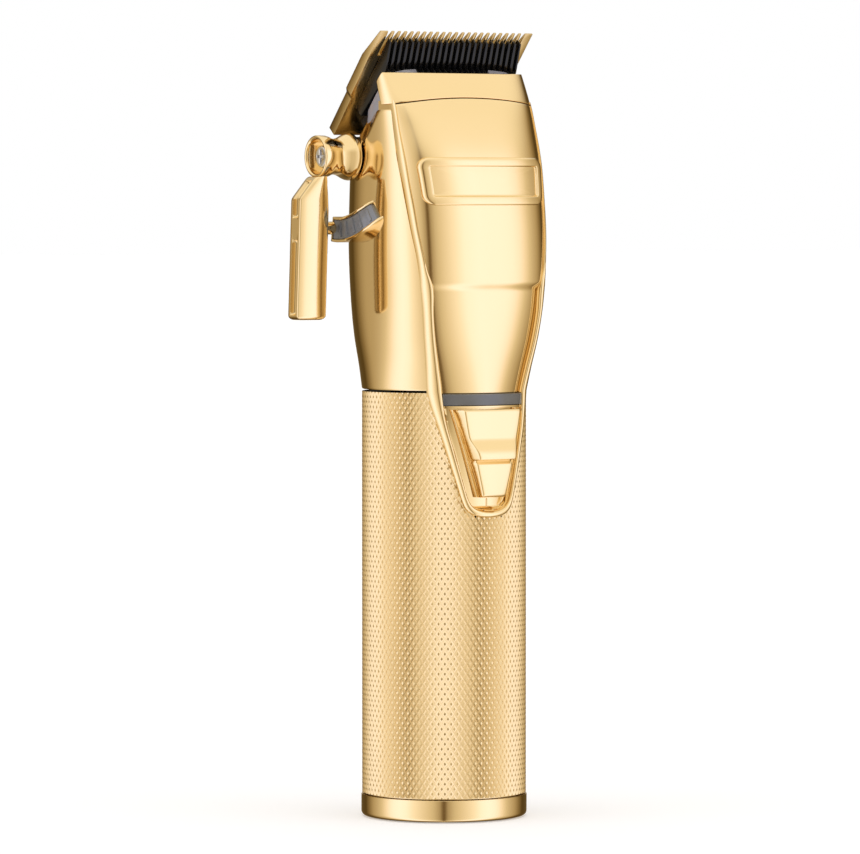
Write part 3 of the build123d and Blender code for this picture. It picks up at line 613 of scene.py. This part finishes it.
# ------------------------------------------------------------------ switch recess and slider
recess_radius, slider_radius = 17.62, 17.85
heights = np.concatenate([np.linspace(95.3, 76.0, 50), np.linspace(75.7, 71.6, 14)])
rows = []
for z in heights:
    edge = inner_half(z) + 0.15 if z > 76.3 else float(np.interp(z, [71.4, 72.2, 73.4, 74.6, 76.3],
                                                               [0.6, 3.8, 5.2, 5.8, 6.35]))
    row = []
    for u in np.linspace(-1, 1, 61):
        x = u * edge
        soft = float(np.interp(z, [73.5, 76.5], [0.5, 0.9]))
        wall = max(0.0, min(1.0, (abs(x) - (edge - soft - 0.1)) / soft))
        end = max(0.0, min(1.0, (72.5 - z) / 0.9))
        floor = -math.sqrt(recess_radius**2 - x * x)
        rim = front_y(x, z, -0.3)
        lift = max(wall, end) ** 1.3
        row.append((x, floor + (rim - floor) * lift, z))
    rows.append(row)
grid = np.array(rows)
recess = sheet_object("switch_recess", grid, 0.8, 0.1, sharp=45)
finish_piece(recess, gold, "housing", "polished_gold", "switch_bed")
profile = [(0, 0.02), (0.05, 0.16), (0.3, 0.22), (2.2, 0.22), (2.5, 0.15), (2.55, 0.02)]
pointer = turned("switch_pointer", profile, (0, -17.58, 71.75), "Z", 16)
finish_piece(pointer, gold, "housing", "polished_gold", "switch_bed")


def slider_ring(z, crown_top, half_top, half_base):
    """The slider's outline at one height: curved underside, skirts, and a slightly hollow top."""
    def floor(x):
        return -math.sqrt(slider_radius**2 - x * x)

    w, t, y = half_base, half_top, crown_top
    side = [(w - 0.5, floor(w) + 0.02), (w - 0.05, floor(w) - 0.02), (w, floor(w) - 0.12),
            (w - 0.03, floor(w) - 0.75), (w - 0.12, floor(w) - 0.86), (w - 0.35, floor(w) - 0.9)]
    up = [(t + 0.28, y + 0.42), (t + 0.14, y + 0.17), (t - 0.02, y + 0.05), (t - 0.3, y)]
    if side[-1][1] < up[0][1] + 0.1:
        side = [(px, max(py, floor(w) - 0.02 - 0.2 * k)) for k, (px, py) in enumerate(side)]
    inner_side = [(t * f, y - 0.12 * (1 - f * f)) for f in (0.8, 0.55, 0.28)]
    under = [(x, floor(x) + 0.02) for x in (0.1, 0.35 * w, 0.7 * w)]
    right = under + side + up + inner_side
    ring = right + [(0, y - 0.13)] + [(-x, v) for x, v in right[::-1]]
    return [(x, v, z) for x, v in ring]


# height, top face depth, top half width
slider_keys = [
    (94.66, -19.7, 7.2), (94.6, -20.1, 7.42), (94.4, -20.28, 7.5), (93.9, -20.34, 7.45),
    (91, -20.4, 6.95), (89.0, -20.42, 6.55), (88.4, -20.45, 6.43), (87.8, -20.62, 6.25),
    (87.2, -20.95, 6.0), (86.4, -21.5, 5.65), (85.6, -22.0, 5.35), (84.9, -22.32, 5.1),
    (84.2, -22.5, 4.95), (83.75, -22.56, 4.85), (83.4, -22.45, 4.8), (83.25, -22.15, 4.8),
    (83.15, -21.4, 4.8), (83.05, -20.75, 4.8), (82.85, -20.6, 4.75), (82.6, -20.75, 4.72),
    (82.3, -21.1, 4.66), (82.0, -21.2, 4.6), (80, -21.2, 4.15), (77, -21.15, 3.4),
    (75.4, -21.1, 3.0), (75.0, -21.0, 2.9), (74.72, -20.7, 2.8), (74.56, -20.2, 2.7)]
rings = [slider_ring(z, y, half, 3.4 + (z - 74.5) * 5.5 / 20.2) for z, y, half in slider_keys]
slider = tube_object("switch_slider_polished", rings, 38)
finish_piece(slider, gold, "switch_slider", "polished_gold", "switch_slider")

# ------------------------------------------------------------------ taper lever
hub = (0, hub_y, hub_z)
arm_out, arm_in, arm_front, arm_back = -36.9, -28.9, 2.4, 2.6
nub_place = (0, 8.2, 136.1)
profile = [(-28.0, 0.02), (-28.0, 3.95), (-29.6, 4.0), (-30.15, 4.05)]
rim_turn = np.radians(np.linspace(230, 90, 9))
profile += [(-30.12 + 0.38 * math.cos(t), 4.5 + 0.38 * math.sin(t)) for t in rim_turn]
profile += [(-29.2, 4.88), (-28.2, 4.85), (-27.4, 4.6), (-26.8, 4.3), (-26.0, 4.12), (-25.2, 4.15),
            (-24.4, 4.35), (-23.6, 4.7), (-22.8, 5.1), (-22.1, 5.38), (-21.5, 5.48), (-21.15, 5.42),
            (-21.0, 5.25), (-21.0, 3.1)]
collar = turned("lever_collar", profile, hub, "X", 96, sharp=45)
finish_piece(collar, gold, "taper_lever", "polished_gold", "taper_lever")


def arm_ring(z, x_out, x_in, front, back, groove):
    """One level of the arm: broad convex front, rounded corners, a groove down the outer side."""
    lean = -math.tan(math.radians(3)) * (z - 143)
    f, b = 5.4 - front + lean, 5.4 + back + lean
    mid = (f + b) / 2 + 0.1
    width = x_in - x_out
    ring = []
    q, r = min(0.3, width / 5), min(0.9, width / 4)
    for t in np.radians(np.linspace(180, 262, 5)):
        ring.append((x_out + q + q * math.cos(t), f + 0.5 + q + q * math.sin(t)))
    for s in np.linspace(0.1, 0.9, 9):
        ring.append((x_out + width * s, f + 0.5 - 0.5 * math.sin(math.pi * s) ** 0.8))
    for t in np.radians(np.linspace(278, 360, 6)):
        ring.append((x_in - r + r * math.cos(t), f + 0.45 + r + r * math.sin(t)))
    for t in np.radians(np.linspace(0, 90, 6)):
        ring.append((x_in - r + r * math.cos(t), b - r + r * math.sin(t)))
    ring.append(((x_in + x_out) / 2, b))
    for t in np.radians(np.linspace(90, 180, 6)):
        ring.append((x_out + 0.6 + 0.6 * math.cos(t), b - 0.6 + 0.6 * math.sin(t)))
    for s in np.linspace(1, -1, 17):
        depth = groove * math.sqrt(max(0.0, 1 - (s / 0.82) ** 2)) if abs(s) < 0.82 else 0.0
        ring.append((x_out + depth, mid + s * 1.3))
    return [(x, y, z) for x, y in ring]


def arm_edges(z):
    out = float(np.interp(z, [112, 142.4, 142.9, 143.4, 147.0, 147.5, 147.8, 147.95],
                          [arm_out, arm_out, -36.75, -36.4, -33.45, -33.0, -32.6, -32.1]))
    inn = float(np.interp(z, [112, 140.0, 144.0, 147.0, 148], [arm_in, arm_in, -29.2, -29.55, -29.8]))
    return out, inn


def groove_depth(z):
    depth = 0.0
    for low_end, high_end in ((116.2, 133.4), (138.5, 147.0)):
        inside = min(z - low_end, high_end - z)
        if inside > 0:
            short = 1 - min(inside, 0.85) / 0.85
            depth = max(depth, 1.45 * math.sqrt(min(1.0, max(0.0, 1 - short**2))))
    return depth


levels = sorted({*np.round(np.linspace(117.4, 132.2, 8), 2), *np.round(np.linspace(116.15, 117.15, 9), 2),
                 *np.round(np.linspace(132.5, 133.5, 9), 2), *np.round(np.linspace(138.4, 139.4, 9), 2),
                 *np.round(np.linspace(135.0, 138.0, 3), 2), *np.round(np.linspace(139.8, 147.95, 46), 2)})
rings = []
for t in np.radians(np.linspace(3, 88, 10)):
    inset = 1.05 * (1 - math.sin(t))
    z = 115.05 + 1.05 * (1 - math.cos(t))
    rings.append(arm_ring(z, arm_out + 1.3 * inset, arm_in - 1.3 * inset, arm_front - inset * 0.8,
                          arm_back - inset * 0.8, 0))
for z in levels:
    out, inn = arm_edges(z)
    rings.append(arm_ring(z, out, inn, arm_front, arm_back, groove_depth(z)))
finish_piece(tube_object("lever_arm", rings, 50), gold, "taper_lever", "polished_gold", "taper_lever")
profile = [(-29.2, 0.02), (-29.2, 1.5), (-25.5, 1.5), (-25.1, 1.3), (-24.92, 0.9), (-24.9, 0.02)]
nub = turned("lever_nub", profile, nub_place, "X", 32)
finish_piece(nub, gold, "taper_lever", "polished_gold", "taper_lever")
finish_piece(bevelled_copy("blade_screws", "blade_screw_heads", 0.08), steel, "blade_carriage", "steel")
screw = bevelled_copy("lever_screw", "lever_screw_head", 0.1)
for vertex in screw.data.vertices:
    x, y, z = vertex.co / MM
    vertex.co = Vector((min(x + 0.6, -21.0), hub_y + (y - hub_y) * 0.72, hub_z + (z - hub_z) * 0.72)) * MM
finish_piece(screw, steel, "taper_lever", "steel")


# ------------------------------------------------------------------ taper scale
skin_x = -20.75
scale_outer_x = -24.5
scale_low_r, scale_high_r = 13.9, 19.7
scale_rear, scale_front = -8, 45.6


def sector_ring(points, low_angle, high_angle, steps):
    """Profile of (x, radius) swept round the hub between two angles from straight down towards the front."""
    rings = []
    for degree in np.linspace(low_angle, high_angle, steps):
        a = math.radians(degree)
        lean = float(np.interp(degree, [scale_rear, 10, 30, 38, 42, scale_front], [0, 0, 0.8, 1.8, 2.6, 3.9]))
        rings.append([(min(x + lean, skin_x), hub_y - r * math.sin(a), hub_z - r * math.cos(a))
                      for x, r in points])
    return rings


def sector_object(name, points, low_angle, high_angle, steps, sharp=40):
    return tube_object(name, sector_ring(points, low_angle, high_angle, steps), sharp)


def rail(low_r, high_r, x_out, x_in, r=0.2):
    return [(x_in, low_r), (x_out + r, low_r), (x_out + r * 0.3, low_r + r * 0.3), (x_out, low_r + r),
            (x_out, high_r - r), (x_out + r * 0.3, high_r - r * 0.3), (x_out + r, high_r), (x_in, high_r)]


for name, low_r, high_r, x_out in (("scale_rail_inner", scale_low_r, 14.55, scale_outer_x),
                                   ("scale_rail_outer", 19.05, scale_high_r, scale_outer_x),
                                   ("scale_web", 14.4, 19.2, -23.5)):
    piece = sector_object(name, rail(low_r, high_r, x_out, skin_x), scale_rear, scale_front, 50)
    finish_piece(piece, gold, "housing", "polished_gold", "scale_bracket")
outline = rail(scale_low_r, scale_high_r, scale_outer_x, skin_x)
piece = sector_object("scale_end_rear", outline, scale_rear, scale_rear + 1, 4)
finish_piece(piece, gold, "housing", "polished_gold", "scale_bracket")
strip = sector_object("scale_face", rail(14.62, 18.98, -24.15, -23.4, 0.12), -6.9, 41.5, 48)
finish_piece(strip, grey_plastic, "housing", "grey_plastic", "scale_strip")
for number in range(5):
    angle = 3 + 8.6 * number
    outline = rail(15.1, 18.5, scale_outer_x, -23.9, 0.15)
    tick = sector_object(f"scale_tick_{number}", outline, angle - 1.0, angle + 1.0, 5)
    finish_piece(tick, grey_plastic, "housing", "grey_plastic", "scale_strip")

# ------------------------------------------------------------------ cutting head
fixed_blade = bevelled_copy("fixed_blade", "fixed_blade_ground", 0.12, 2, 25)
finish_piece(fixed_blade, blade_gold, "blade_carriage", "blade_gold")
cutter_blade = bevelled_copy("cutter_blade", "cutter_blade_black", 0.07, 2, 25)
finish_piece(cutter_blade, black_gloss, "cutter", "black_blade")
head_frame = bevelled_copy("head_frame", "head_frame_moulded", 0.3, 2, 30, 1.0)
finish_piece(head_frame, frame_grey, "housing", "grey_plastic")

# ------------------------------------------------------------------ camera, floor and light
azimuth, elevation, distance = math.radians(-33.5), math.radians(2.25), 1.335
target = Vector((0, 0, 0.090))
back = Vector((math.sin(azimuth) * math.cos(elevation), -math.cos(azimuth) * math.cos(elevation),
               math.sin(elevation)))
camera = bpy.data.objects.new("camera", bpy.data.cameras.new("camera"))
SCENE.collection.objects.link(camera)
camera.location = target + back * distance
camera.rotation_mode = "QUATERNION"
camera.rotation_quaternion = (-back).to_track_quat("-Z", "Y")
camera.data.sensor_width = 36
camera.data.lens = 241.2
camera.data.shift_x = -0.0163
camera.data.clip_start, camera.data.clip_end = 0.05, 50
SCENE.camera = camera
SCENE.view_settings.view_transform = "Standard"


def plain(name, colour, rough=0.6, emission=0.0):
    mat = bpy.data.materials.new(name)
    mat.use_nodes = True
    shader = mat.node_tree.nodes["Principled BSDF"]
    shader.inputs["Base Color"].default_value = (*colour, 1)
    shader.inputs["Roughness"].default_value = rough
    if emission:
        shader.inputs["Emission Color"].default_value = (*colour, 1)
        shader.inputs["Emission Strength"].default_value = emission
    return mat


def add_node(tree, kind, **settings):
    node = tree.nodes.new(kind)
    for key, value in settings.items():
        setattr(node, key, value)
    return node


# soft boxes either side of the camera, a dark studio behind them, and a bright ceiling
# each: degrees away from the camera, then red, green and blue
around_camera = [
    (0, 0.13, 0.08, 0.04), (2.5, 0.22, 0.17, 0.1), (5, 0.42, 0.36, 0.27), (9, 0.53, 0.47, 0.37),
    (14, 0.66, 0.61, 0.52), (20, 0.76, 0.71, 0.63), (31, 0.9, 0.87, 0.86), (43, 1.05, 1.06, 1.15),
    (54, 1.2, 1.26, 1.6), (65, 1.25, 1.31, 1.75), (75, 1.2, 1.25, 1.62), (82, 1.1, 1.13, 1.36),
    (89, 0.97, 0.93, 0.95), (97, 0.74, 0.69, 0.6), (106, 0.58, 0.52, 0.42), (115, 0.47, 0.4, 0.28),
    (127, 0.25, 0.19, 0.1), (139, 0.09, 0.06, 0.02), (158, 0.1, 0.07, 0.03), (172, 0.2, 0.16, 0.1),
    (180, 0.5, 0.45, 0.4)]
world = bpy.data.worlds.new("studio")
SCENE.world = world
world.use_nodes = True
tree = world.node_tree
link = tree.links.new
direction = add_node(tree, "ShaderNodeTexCoord").outputs["Generated"]
parts = []
for axis in ((math.sin(azimuth), -math.cos(azimuth), 0),
             (math.cos(azimuth), math.sin(azimuth), 0), (0, 0, 1)):
    dot = add_node(tree, "ShaderNodeVectorMath", operation="DOT_PRODUCT")
    link(direction, dot.inputs[0])
    dot.inputs[1].default_value = axis
    parts.append(dot.outputs["Value"])
turn = add_node(tree, "ShaderNodeMath", operation="ARCTAN2")
link(parts[1], turn.inputs[0])
link(parts[0], turn.inputs[1])
both = add_node(tree, "ShaderNodeMath", operation="ABSOLUTE")
link(turn.outputs[0], both.inputs[0])
share = add_node(tree, "ShaderNodeMath", operation="DIVIDE")
link(both.outputs[0], share.inputs[0])
share.inputs[1].default_value = math.pi
bands = add_node(tree, "ShaderNodeValToRGB")
ramp = bands.color_ramp
while len(ramp.elements) < len(around_camera):
    ramp.elements.new(0.5)
for k, (angle, *colour) in enumerate(around_camera):
    ramp.elements[k].position = angle / 180
warmth = (1.155, 1.09, 0.96)
for k, (angle, *colour) in enumerate(around_camera):
    ramp.elements[k].color = (*[c * w / 2 for c, w in zip(colour, warmth)], 1)
link(share.outputs[0], bands.inputs["Fac"])
high = add_node(tree, "ShaderNodeMapRange", interpolation_type="SMOOTHSTEP")
high.inputs["From Min"].default_value, high.inputs["From Max"].default_value = 0.3, 0.75
link(parts[2], high.inputs["Value"])
dome = add_node(tree, "ShaderNodeMix", data_type="RGBA")
link(high.outputs["Result"], dome.inputs["Factor"])
link(bands.outputs["Color"], dome.inputs["A"])
dome.inputs["B"].default_value = (*[w * 0.5 for w in warmth], 1)
studio = tree.nodes["Background"]
studio.inputs["Strength"].default_value = 2.0
link(dome.outputs["Result"], studio.inputs["Color"])
white = add_node(tree, "ShaderNodeBackground")
white.inputs["Color"].default_value = (1, 1, 1, 1)
pick = add_node(tree, "ShaderNodeMixShader")
link(add_node(tree, "ShaderNodeLightPath").outputs["Is Camera Ray"], pick.inputs["Fac"])
link(studio.outputs[0], pick.inputs[1])
link(white.outputs[0], pick.inputs[2])
link(pick.outputs[0], tree.nodes["World Output"].inputs["Surface"])

floor_mesh = bpy.data.meshes.new("floor")
floor_corners = [(x, y, -0.0002) for x, y in ((-12, -12), (12, -12), (12, 12), (-12, 12))]
floor_mesh.from_pydata(floor_corners, [], [(0, 1, 2, 3)])
floor_mesh.materials.append(plain("pale floor", (0.82, 0.85, 0.92), 0.8, 0.3))
floor = bpy.data.objects.new("floor", floor_mesh)
SCENE.collection.objects.link(floor)
floor.visible_glossy = False
